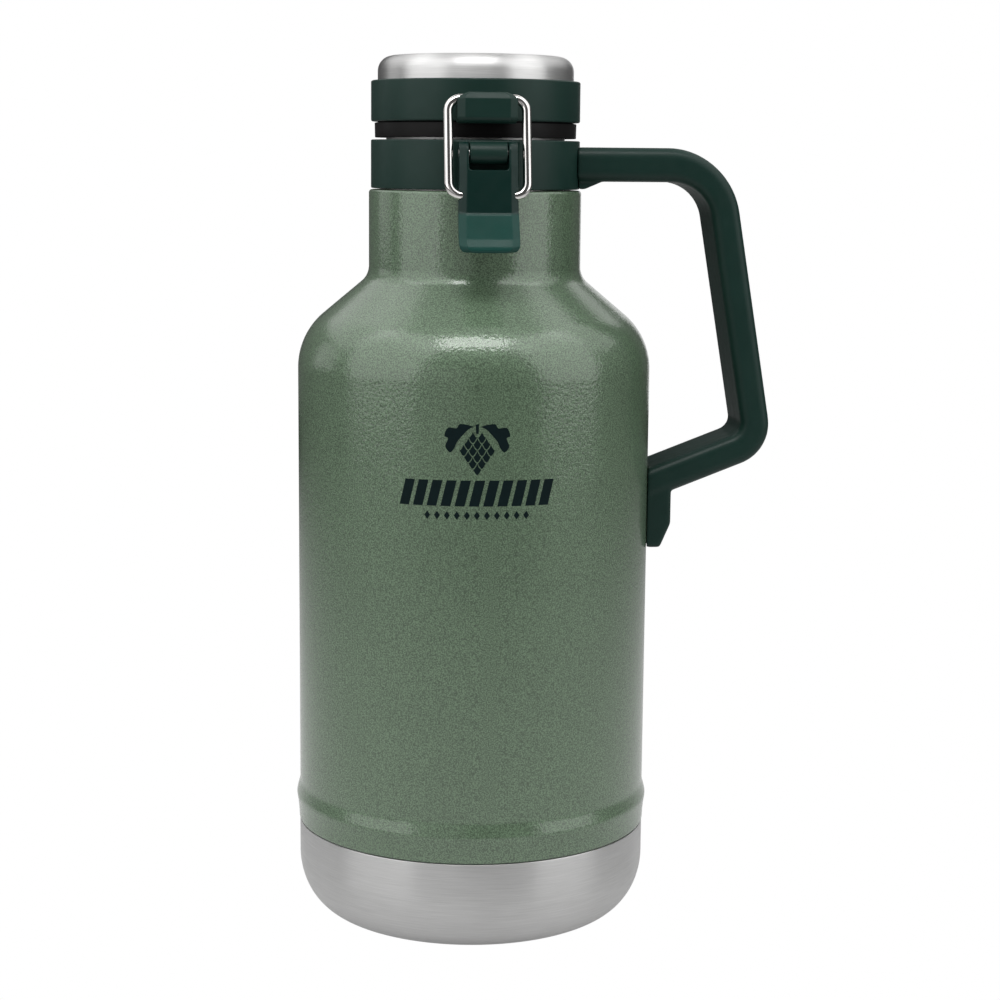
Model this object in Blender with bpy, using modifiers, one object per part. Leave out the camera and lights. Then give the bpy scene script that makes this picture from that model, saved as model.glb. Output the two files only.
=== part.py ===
"""Insulated steel growler with a hinged lid, an over-centre wire latch and a side handle.

Frame: metres, +Z up, origin on the bottle's axis at the middle of its flat base. The handle
is towards +X, the latch towards -Y and the lid's hinge towards +Y. Sizes below are in
millimetres, and every maker turns them into metres.
"""
from math import acos, cos, hypot, pi, radians, sin, tan

import bmesh
import bpy
from mathutils import Matrix, Vector

MM = 0.001
SEGMENTS = 40              # facets round the large turned pieces
SMALL_SEGMENTS = 16        # facets round pins, screws and bores
GAP = 0.3                  # least air between two touching pieces

# Bottle
BODY_R = 60.0
NECK_R = 35.9
SHELL_WALL = 0.6
SHOULDER_Z = 189.4         # height where the body starts to curve in
SHOULDER_R = 24.0
CONE_TURN = 50.0           # degrees that the shoulder turns before it runs straight
NECK_FILLET = 7.0
NECK_TOP_Z = 249.6
LIP_R = 61.1
LIP_Z = 41.2
JOIN_Z = 32.1              # where paint ends and the bare base cup starts
VESSEL_R = 55.4
MOUTH_R = 29.9
MOUTH_TOP_Z = 271.6
VESSEL_BOTTOM_Z = 10.5
CUP_R = 60.1
CUP_WALL = 0.8
CUP_TURN_IN = 15.0         # the cup's bottom edge is a quarter ellipse, this far in
CUP_TURN_UP = 20.0         # and this far up

# Collar and handle
COLLAR_R = 35.2
COLLAR_BORE_R = 30.4
COLLAR_BOTTOM_Z = 250.0
COLLAR_TOP_Z = 266.1
BEAD_Z = 261.7
HANDLE_WIDTH = 26.0
ARM_THICK = 11.8
GRIP_THICK = 10.2
FOOT_X = 67.2
FOOT_BOTTOM_Z = 128.2
FOOT_SCREW_Z = 140.0
COLLAR_SCREW_Z = 256.3
COLLAR_SCREW_Y = 5.2

# Lid
BAND_R = 35.15
BAND_BOTTOM_Z = 272.1
BAND_TOP_Z = 285.6
BAND_BORE_R = 33.2
DECK_BOTTOM_Z = 278.6
DECK_TOP_Z = 281.0
CAP_R = 32.9
CAP_TOP_Z = 294.0
CAP_CORNER = 5.0
LINER_R = 33.95
LINER_BOTTOM_Z = 266.8
PLUG_R = 27.4
PLUG_BOTTOM_Z = 261.0
LID_SCREW_R = 28.9

# Hinge and latch: u is the distance from the axis, towards +Y for the hinge, -Y for the latch
HINGE_U, HINGE_Z = 43.0, 269.0
HINGE_PIN_R = 1.5
KNUCKLE_R = 3.6
EAR_R = 3.8
HINGE_HALF = 11.0
HINGE_SLOT_HALF = 7.3
LEVER_U, LEVER_Z = 42.2, 261.8
LATCH_PIN_R = 1.3
PAD_U = 38.2
PAD_HALF = 11.0
LEVER_HALF = 9.6
LEVER_SLOT_HALF = 6.4
LEVER_TIP_Z = 230.3
BAIL_U, BAIL_Z = 44.7, 248.4          # the bail's pivot in the lever
BAR_U, BAR_Z = 38.0, 279.0            # the bail's top bar, in the hook
WIRE_R = 1.5
BAIL_HALF = 12.6
BAIL_CORNER = 4.2
CATCH_HALF = 9.75
CATCH_U = 41.6
LIP_THICK = 1.7
CATCH_TOP_Z = 281.1
CATCH_BOTTOM_Z = 271.2

COLOURS = {                # base colour, metallic, roughness
    "green_paint": ((0.105, 0.165, 0.105), 0.3, 0.35),
    "brushed_steel": ((0.62, 0.61, 0.60), 1.0, 0.32),
    "bare_steel": ((0.58, 0.58, 0.58), 1.0, 0.4),
    "wire": ((0.72, 0.71, 0.70), 1.0, 0.15),
    "green_plastic": ((0.013, 0.032, 0.026), 0.0, 0.42),
    "black_plastic": ((0.012, 0.012, 0.012), 0.0, 0.5),
    "silicone": ((0.05, 0.05, 0.05), 0.0, 0.7),
    "foam": ((0.75, 0.73, 0.66), 0.0, 0.95),
}


# ---- outlines -------------------------------------------------------------------------------

def arc(centre, radius, start, end, count):
    """Points on an arc, angles in degrees from the first axis."""
    angles = [radians(start + (end - start) * i / count) for i in range(count + 1)]
    return [(centre[0] + radius * cos(a), centre[1] + radius * sin(a)) for a in angles]


def rounded(corners, steps=5, closed=False):
    """An outline through corners given as (x, z, radius), each turned by its own arc."""
    points = []
    last = len(corners) - 1
    for i, (x, z, radius) in enumerate(corners):
        here = Vector((x, z))
        if radius == 0 or (not closed and i in (0, last)):
            points.append((x, z))
            continue
        before = (Vector(corners[i - 1][:2]) - here).normalized()
        after = (Vector(corners[(i + 1) % len(corners)][:2]) - here).normalized()
        half = acos(max(-1.0, min(1.0, before.dot(after)))) / 2
        centre = here + (before + after).normalized() * radius / sin(half)
        start = here + before * radius / tan(half) - centre
        end = here + after * radius / tan(half) - centre
        turn = start.angle_signed(end)
        for k in range(steps + 1):
            arm = Vector((start.x, start.y, 0)) @ Matrix.Rotation(turn * k / steps, 3, "Z")
            points.append((centre.x + arm.x, centre.y + arm.y))
    return points


def inward(points, wall):
    """The same line moved by the wall's thickness to its right, seen along its run."""
    moved = []
    for i, (x, z) in enumerate(points):
        normals = []
        for a, b in ((i - 1, i), (i, i + 1)):
            if a >= 0 and b < len(points):
                run = Vector(points[b]) - Vector(points[a])
                normals.append(Vector((run.y, -run.x)).normalized())
        side = sum(normals, Vector((0, 0))).normalized()
        side /= side.dot(normals[0])
        moved.append((x + side.x * wall, z + side.y * wall))
    return moved


def shoulder(body_r, neck_r, arc_r, fillet):
    """Neck, straight cone and rounded shoulder, from the neck down to the body's side."""
    centre = (body_r - arc_r, SHOULDER_Z)
    bend = arc(centre, arc_r, CONE_TURN, 0, 5)
    fall = radians(90 - CONE_TURN)                    # the cone's slope below level
    cone_top = (neck_r, bend[0][1] + (bend[0][0] - neck_r) * tan(fall))
    reach = fillet * tan((pi / 2 - fall) / 2)
    hollow = arc((neck_r + fillet, cone_top[1] + reach), fillet, 180, 180 + CONE_TURN, 3)
    return hollow + bend


# ---- makers ---------------------------------------------------------------------------------

def clear_scene():
    for thing in list(bpy.data.objects):
        bpy.data.objects.remove(thing, do_unlink=True)


def collection(name):
    made = bpy.data.collections.new(name)
    bpy.context.scene.collection.children.link(made)
    return made


def material(name):
    if name in bpy.data.materials:
        return bpy.data.materials[name]
    colour, metallic, roughness = COLOURS[name]
    made = bpy.data.materials.new(name)
    made.use_nodes = True
    shader = made.node_tree.nodes["Principled BSDF"]
    shader.inputs["Base Color"].default_value = (*colour, 1.0)
    shader.inputs["Metallic"].default_value = metallic
    shader.inputs["Roughness"].default_value = roughness
    made.diffuse_color = (*colour, 1.0)
    return made


def part(name, mesh, finish=None, pivot=(0.0, 0.0, 0.0)):
    """An object for a mesh in millimetres; with no finish it is a tool for cuts and joins."""
    pivot = Vector(pivot)
    mesh.transform(Matrix.Scale(MM, 4) @ Matrix.Translation(-pivot))
    made = bpy.data.objects.new(name, mesh)
    made.location = pivot * MM
    if finish is None:
        TOOLS.objects.link(made)
        made.hide_render = True
        made.display_type = "WIRE"
    else:
        GROWLER.objects.link(made)
        mesh.materials.append(material(finish))
        mesh.shade_smooth()
        mesh.set_sharp_from_angle(angle=radians(35))
    return made


def box_mesh(low, high):
    """A cuboid between two corners."""
    low, high = Vector(low), Vector(high)
    shape = bmesh.new()
    bmesh.ops.create_cube(shape, size=1.0)
    size = Matrix.Diagonal((*(high - low), 1.0))
    bmesh.ops.transform(shape, matrix=Matrix.Translation((low + high) / 2) @ size, verts=shape.verts)
    mesh = bpy.data.meshes.new("box")
    shape.to_mesh(mesh)
    shape.free()
    return mesh


def rod_mesh(start, end, radius, end_radius=None, segments=SMALL_SEGMENTS):
    """A cylinder, or a cone, between two points."""
    start, end = Vector(start), Vector(end)
    shape = bmesh.new()
    bmesh.ops.create_cone(
        shape, cap_ends=True, segments=segments, radius1=radius,
        radius2=radius if end_radius is None else end_radius, depth=(end - start).length)
    turn = Vector((0, 0, 1)).rotation_difference(end - start).to_matrix().to_4x4()
    bmesh.ops.transform(shape, matrix=Matrix.Translation((start + end) / 2) @ turn, verts=shape.verts)
    mesh = bpy.data.meshes.new("rod")
    shape.to_mesh(mesh)
    shape.free()
    return mesh


def turned(name, profile, finish, closed=True, segments=SEGMENTS):
    """A turned piece: its profile runs down the outer side, and up the inner side if closed."""
    count = len(profile)
    edges = [(i, (i + 1) % count) for i in range(count if closed else count - 1)]
    mesh = bpy.data.meshes.new(name)
    mesh.from_pydata([(x, 0.0, z) for x, z in profile], edges, [])
    made = part(name, mesh, finish)
    screw = made.modifiers.new("turn", "SCREW")
    screw.axis = "Z"
    screw.angle = 2 * pi
    screw.steps = screw.render_steps = segments
    screw.use_merge_vertices = True
    screw.merge_threshold = 0.00001
    screw.use_smooth_shade = True
    return made


def solid_from(curve_data, matrix):
    """The closed mesh of a curve, with its caps welded on."""
    curve = bpy.data.objects.new("curve", curve_data)
    TOOLS.objects.link(curve)
    bpy.context.view_layer.update()
    seen = curve.evaluated_get(bpy.context.evaluated_depsgraph_get())
    mesh = bpy.data.meshes.new_from_object(seen)
    bpy.data.objects.remove(curve)
    shape = bmesh.new()
    shape.from_mesh(mesh)
    bmesh.ops.remove_doubles(shape, verts=shape.verts, dist=0.001)
    bmesh.ops.dissolve_limit(shape, angle_limit=radians(0.5), verts=shape.verts, edges=shape.edges)
    bmesh.ops.recalc_face_normals(shape, faces=shape.faces)
    shape.transform(matrix)
    shape.to_mesh(mesh)
    shape.free()
    return mesh


def flat_curve(points, closed):
    data = bpy.data.curves.new("outline", "CURVE")
    data.dimensions = "2D"
    line = data.splines.new("POLY")
    line.points.add(len(points) - 1)
    for spot, (x, y) in zip(line.points, points):
        spot.co = (x, y, 0.0, 1.0)
    line.use_cyclic_u = closed
    return data


def plate_mesh(outline, half, plane):
    """An outline made into a plate, half to each side: plane "xz", or "uz" with u along -Y."""
    data = flat_curve(outline, True)
    data.fill_mode = "BOTH"
    data.extrude = half
    stand = Matrix.Rotation(pi / 2, 4, "X")                      # outline's second axis upright
    turn = Matrix.Rotation(-pi / 2, 4, "Z") if plane == "uz" else Matrix.Identity(4)
    return solid_from(data, turn @ stand)


def bevelled(piece, width, segments=2, angle=40.0):
    bevel = piece.modifiers.new("edges", "BEVEL")
    bevel.width = width * MM
    bevel.segments = segments
    bevel.limit_method = "ANGLE"
    bevel.angle_limit = radians(angle)
    return piece


def boolean(piece, tool, operation):
    step = piece.modifiers.new(operation.lower(), "BOOLEAN")
    step.operation = operation
    step.solver = "EXACT"
    step.object = tool


def cut(piece, *meshes):
    for mesh in meshes:
        boolean(piece, part("cutter", mesh), "DIFFERENCE")


def join(piece, *meshes):
    for mesh in meshes:
        boolean(piece, part("joined", mesh), "UNION")


def join_bevelled(piece, mesh, width, segments=2):
    boolean(piece, bevelled(part("joined", mesh), width, segments), "UNION")


# ---- bottle ---------------------------------------------------------------------------------

def make_outer_shell():
    """Painted shell: neck, shoulder, side, raised lip, and the bare skirt inside the base cup."""
    skirt_r = CUP_R - CUP_WALL - 0.5
    outer = arc((NECK_R - 1.1, NECK_TOP_Z - 1.1), 1.1, 90, 0, 2)
    outer += shoulder(BODY_R, NECK_R, SHOULDER_R, NECK_FILLET)
    outer += [(BODY_R, 46.0), (LIP_R - 0.45, LIP_Z + 1.9), (LIP_R, LIP_Z), (LIP_R - 0.35, LIP_Z - 2.6)]
    outer += [(BODY_R + 0.3, JOIN_Z + GAP + 0.1), (skirt_r, JOIN_Z + GAP)]
    outer += arc((skirt_r - 14.0, 20.0), 14.0, 0, -90, 3)
    outer += [(36.0, 6.0)]
    line = [(MOUTH_R + 0.4, NECK_TOP_Z)] + outer
    return turned("outer_shell", line + inward(line, SHELL_WALL)[::-1], "green_paint")


def make_inner_vessel():
    """Bare steel vessel that holds the drink, with the mouth tube, its bead and rolled rim."""
    rim = arc((MOUTH_R - 0.1, MOUTH_TOP_Z - 0.9), 0.9, 120, -60, 3)
    bead = [(MOUTH_R, BEAD_Z + 1.6), (MOUTH_R + 1.1, BEAD_Z + 0.6), (MOUTH_R + 1.1, BEAD_Z - 0.6),
            (MOUTH_R, BEAD_Z - 1.6)]
    side = shoulder(VESSEL_R, MOUTH_R, SHOULDER_R - 4.6, NECK_FILLET + 4.6)
    corner = arc((VESSEL_R - 12.0, VESSEL_BOTTOM_Z + 12.0), 12.0, 0, -90, 3)
    outer = rim + bead + side + corner + [(0.0, VESSEL_BOTTOM_Z)]
    inner_r = MOUTH_R - SHELL_WALL
    inside = shoulder(VESSEL_R - SHELL_WALL, inner_r, SHOULDER_R - 4.6 - SHELL_WALL,
                      NECK_FILLET + 4.6 + SHELL_WALL)
    floor = VESSEL_BOTTOM_Z + SHELL_WALL
    corner_r = 12.0 - SHELL_WALL
    inside += arc((VESSEL_R - 12.0, floor + corner_r), corner_r, 0, -90, 3) + [(0.0, floor)]
    inside = [(inner_r, MOUTH_TOP_Z - 1.4)] + inside
    return turned("inner_vessel", inside[::-1] + outer, "bare_steel", closed=False)


def make_base():
    """Brushed cup round the bottom, and the plate and seal that close the vacuum above it."""
    wall = CUP_WALL
    steps = 9
    turns = [pi / 2 * k / steps for k in range(steps + 1)]
    side = [(CUP_R, JOIN_Z)]
    side += [(CUP_R - CUP_TURN_IN * (1 - cos(a)), CUP_TURN_UP * (1 - sin(a))) for a in turns]
    side += [(0.0, 0.0)]
    turned("base_cup", inward(side, wall)[::-1] + side, "brushed_steel", closed=False)
    plate = [(0.0, 5.7), (41.0, 5.7), (41.0, 4.7), (12.0, 4.7), (0.0, 4.7)]
    turned("vacuum_base_plate", plate, "bare_steel", closed=False)
    turned("getter_cap", [(0.0, 4.4), (9.0, 4.4), (8.4, 2.6), (0.0, 2.6)], "bare_steel",
           closed=False, segments=24)


# ---- collar and handle ----------------------------------------------------------------------

def make_neck_collar():
    """Plastic ring on the neck, with the latch's pad and knuckle and the lid hinge's ears."""
    edge = 0.8
    top, bottom = COLLAR_TOP_Z, COLLAR_BOTTOM_Z
    ring = arc((COLLAR_R - edge, top - edge), edge, 90, 0, 2)
    ring += arc((COLLAR_R - edge, bottom + edge), edge, 0, -90, 2)
    inside = [(COLLAR_BORE_R, bottom), (COLLAR_BORE_R, BEAD_Z - 2.2), (COLLAR_BORE_R + 1.1, BEAD_Z - 1.9),
              (COLLAR_BORE_R + 1.1, BEAD_Z + 1.9), (COLLAR_BORE_R, BEAD_Z + 2.2), (COLLAR_BORE_R, top)]
    collar = turned("neck_collar", ring + inside, "green_plastic")

    web_u = COLLAR_BORE_R + 2.0        # pieces joined to the ring start inside its wall
    join_bevelled(collar, box_mesh((-PAD_HALF, -PAD_U, bottom + 0.1), (PAD_HALF, -web_u, top - 0.1)), 0.9)
    knuckle = arc((LEVER_U, LEVER_Z), KNUCKLE_R, -90, 90, 8)
    knuckle += [(web_u, LEVER_Z + KNUCKLE_R - 0.2), (web_u, LEVER_Z - KNUCKLE_R)]
    join(collar, plate_mesh(knuckle, 6.0, "uz"))

    saddle = box_mesh((-HINGE_HALF + 0.4, web_u, 254.0), (HINGE_HALF - 0.4, HINGE_U + 3.4, HINGE_Z - 4.4))
    join_bevelled(collar, saddle, 1.2)
    ear = arc((-HINGE_U, HINGE_Z), EAR_R, 0, 180, 8)
    ear += [(-HINGE_U - EAR_R, 256.0), (-HINGE_U + EAR_R, 256.0)]
    for side in (-1, 1):
        mesh = plate_mesh(ear, (HINGE_HALF - HINGE_SLOT_HALF) / 2, "uz")
        mesh.transform(Matrix.Translation((side * (HINGE_HALF + HINGE_SLOT_HALF) / 2, 0, 0)))
        join(collar, mesh)

    cut(collar,
        rod_mesh((-20, -LEVER_U, LEVER_Z), (20, -LEVER_U, LEVER_Z), LATCH_PIN_R + GAP),
        rod_mesh((-20, HINGE_U, HINGE_Z), (20, HINGE_U, HINGE_Z), HINGE_PIN_R + GAP))
    for side in (-1, 1):
        y = side * COLLAR_SCREW_Y
        cut(collar,
            rod_mesh((25, y, COLLAR_SCREW_Z), (32.7, y, COLLAR_SCREW_Z), 2.9),
            rod_mesh((30, y, COLLAR_SCREW_Z), (40, y, COLLAR_SCREW_Z), 1.8))


def handle_path():
    """Centre line of the handle: (x, z, thickness) from the collar round to the bottle."""
    upper, lower = (81.4, 258.4), (97.2, 164.7)
    line = rounded([(30.0, 258.4, 0), (*upper, 19.9), (*lower, 9.5), (54.0, 148.0, 0)], steps=7)
    spots = []
    for x, z in line:
        if z > 258.3:
            thick = ARM_THICK
        elif z > 172:
            thick = max(GRIP_THICK, ARM_THICK - (ARM_THICK - GRIP_THICK) * (258.3 - z) / 12.0)
        else:
            thick = GRIP_THICK * 1.05
        spots.append((x, z, thick))
    return spots


def swept_mesh(spots, width, corner):
    """A bar of even width and changing thickness along a line in the XZ plane, its corners rounded."""
    shape = bmesh.new()
    rings = []
    half_w = width / 2
    for i, (x, z, thick) in enumerate(spots):
        before, after = spots[max(0, i - 1)], spots[min(len(spots) - 1, i + 1)]
        run = Vector((after[0] - before[0], 0, after[1] - before[1])).normalized()
        side = Vector((run.z, 0, -run.x))
        half_t = thick / 2
        section = [(half_t, half_w), (-half_t, half_w), (-half_t, -half_w), (half_t, -half_w)]
        section = rounded([(t, w, corner) for t, w in section], steps=3, closed=True)
        rings.append([shape.verts.new(Vector((x, w, z)) + side * t) for t, w in section])
    count = len(rings[0])
    for a, b in zip(rings, rings[1:]):
        for k in range(count):
            shape.faces.new((a[k], a[(k + 1) % count], b[(k + 1) % count], b[k]))
    shape.faces.new(rings[0])
    shape.faces.new(rings[-1])
    bmesh.ops.recalc_face_normals(shape, faces=shape.faces)
    mesh = bpy.data.meshes.new("bar")
    shape.to_mesh(mesh)
    shape.free()
    return mesh


def make_handle():
    """Moulded handle: two arms and a grip in one sweep, and a foot screwed to the bottle."""
    handle = part("handle", swept_mesh(handle_path(), HANDLE_WIDTH, 4.0), "green_plastic")

    foot = rounded([(FOOT_X, 154.0, 0), (FOOT_X, 136.5, 3.0), (63.6, FOOT_BOTTOM_Z, 1.2),
                    (56.0, FOOT_BOTTOM_Z, 0), (56.0, 154.0, 0)], steps=3, closed=True)
    join_bevelled(handle, plate_mesh(foot, HANDLE_WIDTH / 2 - 0.1, "xz"), 2.2)
    gusset = [(33.0, 258.0), (33.0, 250.1), (36.0, 250.2), (38.6, 251.3), (41.6, 252.6), (46.0, 255.0)]
    join(handle, plate_mesh(gusset, HANDLE_WIDTH / 2 - 2.4, "xz"))

    cut(handle,
        rod_mesh((0, 0, 100), (0, 0, 187), BODY_R + GAP, segments=SEGMENTS),
        rod_mesh((0, 0, 240), (0, 0, 275), COLLAR_R + GAP, segments=SEGMENTS),
        box_mesh((55.0, -6.6, 131.0), (61.9, 6.6, 149.0)),
        rod_mesh((60.0, 0, FOOT_SCREW_Z), (63.7, 0, FOOT_SCREW_Z), 3.5),
        rod_mesh((60.0, 0, FOOT_SCREW_Z), (75.0, 0, FOOT_SCREW_Z), 1.9),
        rod_mesh((65.6, 0, FOOT_SCREW_Z), (75.0, 0, FOOT_SCREW_Z), 3.4))
    for side in (-1, 1):
        y = side * COLLAR_SCREW_Y
        cut(handle, rod_mesh((30, y, COLLAR_SCREW_Z), (46, y, COLLAR_SCREW_Z), 1.8))


def make_bracket():
    """Steel tab on the bottle's side, with the boss that the foot's screw goes into."""
    bracket = part("handle_bracket", box_mesh((60.3, -6.0, 131.6), (61.5, 6.0, 148.4)), "bare_steel")
    join(bracket, rod_mesh((60.6, 0, FOOT_SCREW_Z), (63.3, 0, FOOT_SCREW_Z), 3.1))
    cut(bracket, rod_mesh((58.0, 0, FOOT_SCREW_Z), (66.0, 0, FOOT_SCREW_Z), 1.9))


def make_screw(name, head, seat, tip, head_r, shank_r):
    """A plain cap screw whose head runs from head to seat and whose shank ends at tip."""
    screw = part(name, rod_mesh(head, seat, head_r), "bare_steel")
    inside = Vector(seat).lerp(Vector(head), 0.5)
    join(screw, rod_mesh(inside, tip, shank_r))
    socket_end = Vector(head).lerp(Vector(seat), 0.6)
    above = Vector(head) + (Vector(head) - Vector(seat))
    cut(screw, rod_mesh(above, socket_end, head_r * 0.5, segments=6))


def make_fixings():
    for number, side in ((1, -1), (2, 1)):
        y = side * COLLAR_SCREW_Y
        make_screw(f"collar_screw_{number}", (30.7, y, COLLAR_SCREW_Z), (32.4, y, COLLAR_SCREW_Z),
                   (45.4, y, COLLAR_SCREW_Z), 2.5, 1.4)
    make_screw("handle_screw", (67.3, 0, FOOT_SCREW_Z), (65.9, 0, FOOT_SCREW_Z),
               (61.0, 0, FOOT_SCREW_Z), 3.0, 1.5)
    part("latch_pin", rod_mesh((-9.4, -LEVER_U, LEVER_Z), (9.4, -LEVER_U, LEVER_Z), LATCH_PIN_R),
         "bare_steel")
    part("hinge_pin", rod_mesh((-10.8, HINGE_U, HINGE_Z), (10.8, HINGE_U, HINGE_Z), HINGE_PIN_R),
         "bare_steel")


# ---- lid ------------------------------------------------------------------------------------

def make_lid_band():
    """Plastic band with an inner deck, the hook for the bail and the hinge's knuckle."""
    edge = 0.8
    profile = [(0.0, DECK_TOP_Z), (CAP_R + GAP + 0.1, DECK_TOP_Z), (CAP_R + GAP + 0.1, BAND_TOP_Z)]
    profile += arc((BAND_R - edge, BAND_TOP_Z - edge), edge, 90, 0, 2)
    profile += arc((BAND_R - edge, BAND_BOTTOM_Z + edge), edge, 0, -90, 2)
    profile += [(BAND_BORE_R, BAND_BOTTOM_Z), (BAND_BORE_R, DECK_BOTTOM_Z), (0.0, DECK_BOTTOM_Z)]
    band = turned("lid_band", profile, "green_plastic", closed=False)

    root_u = BAND_BORE_R + 0.8
    hook = [(root_u, 272.2), (root_u + 1.4, CATCH_BOTTOM_Z), (CATCH_U - 1.6, CATCH_BOTTOM_Z),
            (CATCH_U, CATCH_BOTTOM_Z + 1.6), (CATCH_U, 279.1),
            (CATCH_U - 1.0, CATCH_TOP_Z), (CATCH_U - LIP_THICK, CATCH_TOP_Z),
            (CATCH_U - LIP_THICK, BAR_Z - WIRE_R - GAP - 0.4), (CATCH_U - LIP_THICK - 0.5, BAR_Z - WIRE_R - GAP),
            (root_u, BAR_Z - WIRE_R - GAP)]
    join_bevelled(band, plate_mesh(hook, CATCH_HALF, "uz"), 0.5, 1)

    web = arc((-HINGE_U, HINGE_Z), KNUCKLE_R, 90, 330, 12)
    web += [(-root_u, 272.2), (-root_u, 278.0)]
    join(band, plate_mesh(web, HINGE_SLOT_HALF - GAP, "uz"))
    cut(band, rod_mesh((-20, HINGE_U, HINGE_Z), (20, HINGE_U, HINGE_Z), HINGE_PIN_R + GAP))
    for x, y in lid_screw_places():
        cut(band, rod_mesh((x, y, 270.0), (x, y, 290.0), 1.6))


def lid_screw_places():
    angles = (radians(90 + 120 * i) for i in range(3))
    return [(LID_SCREW_R * cos(a), LID_SCREW_R * sin(a)) for a in angles]


def make_lid_insides():
    """Steel cap, liner with its plug and skirt, foam, seal and the screws that hold the liner."""
    wall = 0.8
    skirt_z = DECK_TOP_Z + GAP
    centre = (CAP_R - CAP_CORNER, CAP_TOP_Z - CAP_CORNER)
    outer = [(0.0, CAP_TOP_Z)] + arc(centre, CAP_CORNER, 90, 0, 4) + [(CAP_R, skirt_z)]
    inner = [(CAP_R - wall, skirt_z)] + arc(centre, CAP_CORNER - wall, 0, 90, 4)
    turned("lid_cap", outer + inner + [(0.0, CAP_TOP_Z - wall)], "brushed_steel", closed=False)

    flange_top, flange_bottom = 276.4, 274.2
    skirt_in = 31.5
    liner = turned("lid_liner", [
        (0.0, PLUG_BOTTOM_Z + 2.0), (PLUG_R - 2.6, PLUG_BOTTOM_Z + 2.0), (PLUG_R - 2.2, flange_top),
        (BAND_BORE_R - GAP - 0.1, flange_top), (BAND_BORE_R - GAP - 0.1, BAND_BOTTOM_Z - 0.2),
        (LINER_R, BAND_BOTTOM_Z - 0.4), (LINER_R - 0.25, LINER_BOTTOM_Z), (skirt_in, LINER_BOTTOM_Z),
        (skirt_in, flange_bottom), (PLUG_R + 0.2, flange_bottom), (PLUG_R - 0.6, PLUG_BOTTOM_Z + 1.0),
        (PLUG_R - 1.6, PLUG_BOTTOM_Z), (0.0, PLUG_BOTTOM_Z)], "black_plastic", closed=False)
    for x, y in lid_screw_places():
        join(liner, rod_mesh((x, y, flange_top - 1.0), (x, y, DECK_BOTTOM_Z - GAP), 2.9))
        cut(liner, rod_mesh((x, y, 275.0), (x, y, 290.0), 1.6))

    turned("lid_foam", [(0.0, 278.2), (24.4, 278.2), (24.1, PLUG_BOTTOM_Z + 2.4),
                        (0.0, PLUG_BOTTOM_Z + 2.4)], "foam", closed=False)
    low, high = MOUTH_TOP_Z + GAP, flange_bottom - GAP
    turned("lid_gasket", [(31.1, high), (31.1, low), (28.0, low), (28.0, high)], "silicone")
    for number, (x, y) in enumerate(lid_screw_places(), 1):
        make_screw(f"lid_screw_{number}", (x, y, DECK_TOP_Z + 2.0), (x, y, DECK_TOP_Z + GAP),
                   (x, y, 275.4), 2.5, 1.3)


# ---- latch ----------------------------------------------------------------------------------

def make_lever():
    """Over-centre lever: two ears on the pin, a straight body and a flared finger tip."""
    pivot = (0.0, -LEVER_U, LEVER_Z)
    ears = arc((LEVER_U, LEVER_Z), KNUCKLE_R, 190, 10, 8)
    side = ears + [(46.6, 258.0), (47.5, 243.0), (50.5, 234.8), (51.8, 232.4), (51.9, LEVER_TIP_Z + 1.0),
                   (51.2, LEVER_TIP_Z), (48.6, 230.9), (43.6, 240.4), (41.3, 245.0), (41.3, 256.5)]
    lever = part("latch_lever", plate_mesh(side, LEVER_HALF, "uz"), "green_plastic", pivot)
    bevelled(lever, 1.1, 1)
    cut(lever,
        box_mesh((-LEVER_SLOT_HALF, -60, 256.5), (LEVER_SLOT_HALF, -30, 275)),
        rod_mesh((-20, -LEVER_U, LEVER_Z), (20, -LEVER_U, LEVER_Z), LATCH_PIN_R + GAP),
        rod_mesh((-20, -BAIL_U, BAIL_Z), (20, -BAIL_U, BAIL_Z), WIRE_R + GAP))


def make_bail():
    """Bent wire: its two ends sit in the lever's bore, its top bar in the lid's hook."""
    rise = hypot(BAIL_U - BAR_U, BAR_Z - BAIL_Z)
    corners = [(1.0, 0, 0), (BAIL_HALF, 0, BAIL_CORNER), (BAIL_HALF, rise, BAIL_CORNER),
               (-BAIL_HALF, rise, BAIL_CORNER), (-BAIL_HALF, 0, BAIL_CORNER), (-1.0, 0, 0)]
    data = flat_curve(rounded(corners, steps=4), False)
    data.dimensions = "3D"
    data.bevel_depth = WIRE_R
    data.bevel_resolution = 2
    data.use_fill_caps = True
    lean = Vector((0, BAIL_U - BAR_U, BAR_Z - BAIL_Z)).normalized()
    across = Vector((1, 0, 0))
    frame = Matrix((across, lean, across.cross(lean))).transposed().to_4x4()
    pivot = Vector((0.0, -BAIL_U, BAIL_Z))
    part("wire_bail", solid_from(data, Matrix.Translation(pivot) @ frame), "wire", pivot)


clear_scene()
GROWLER = collection("growler")
TOOLS = collection("cutters")
make_outer_shell()
make_inner_vessel()
make_base()
make_neck_collar()
make_handle()
make_bracket()
make_fixings()
make_lid_band()
make_lid_insides()
make_lever()
make_bail()
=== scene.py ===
"""Looks of the growler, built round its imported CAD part.

Shapes are drawn in millimetres in the part's own frame and turned into metres when they become
pieces. Z is up, the latch is at -Y, the handle at +X and the lid's hinge at +Y.
"""

from math import acos, cos, hypot, pi, radians, sin, tan

import bmesh
import bpy
from mathutils import Matrix, Vector


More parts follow.
